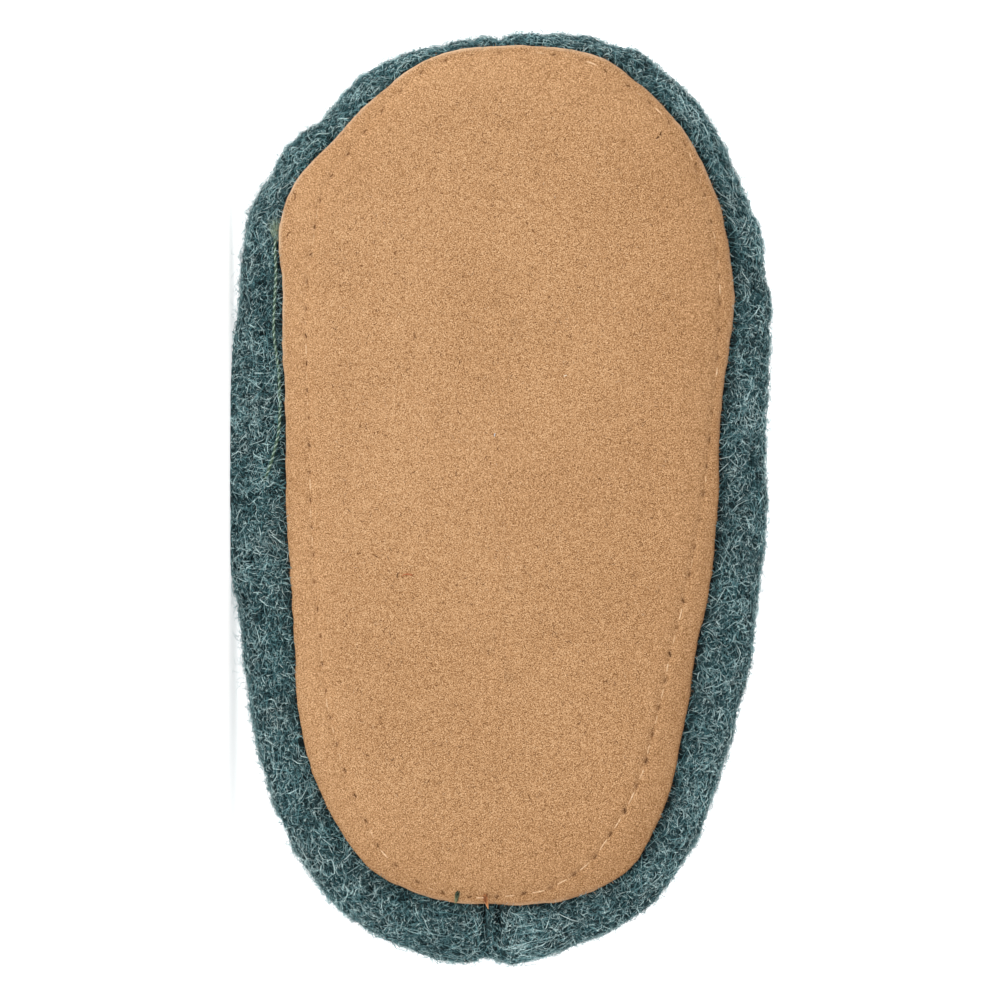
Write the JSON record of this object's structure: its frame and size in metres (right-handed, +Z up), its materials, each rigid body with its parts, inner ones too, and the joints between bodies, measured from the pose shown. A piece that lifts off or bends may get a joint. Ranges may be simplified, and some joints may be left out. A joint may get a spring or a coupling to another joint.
{
  "type": "baby slipper",
  "caption": "Soft baby slipper for the right foot: a hollow knitted wool upper with an open collar, closed underneath by a stitched suede sole and a felt insole, lying on its outer side.",
  "frame": {"origin": "bottom centre of the box around the lying slipper, on the floor under the middle of its outer side", "axes": "-X towards the toe, -Y out of the tread, +Z up, which is the inner side of the foot"},
  "size_m": [0.1264, 0.0442, 0.0736],
  "materials": {
    "suede": "napped tan suede, raw cut edge",
    "wool": "felted teal wool knit with a fuzzy nap",
    "felt": "undyed wool felt and beige sewing thread"
  },
  "bodies": {
    "root": {"outsole": "suede", "upper": "wool", "insole": "felt"}
  },
  "joints": []
}
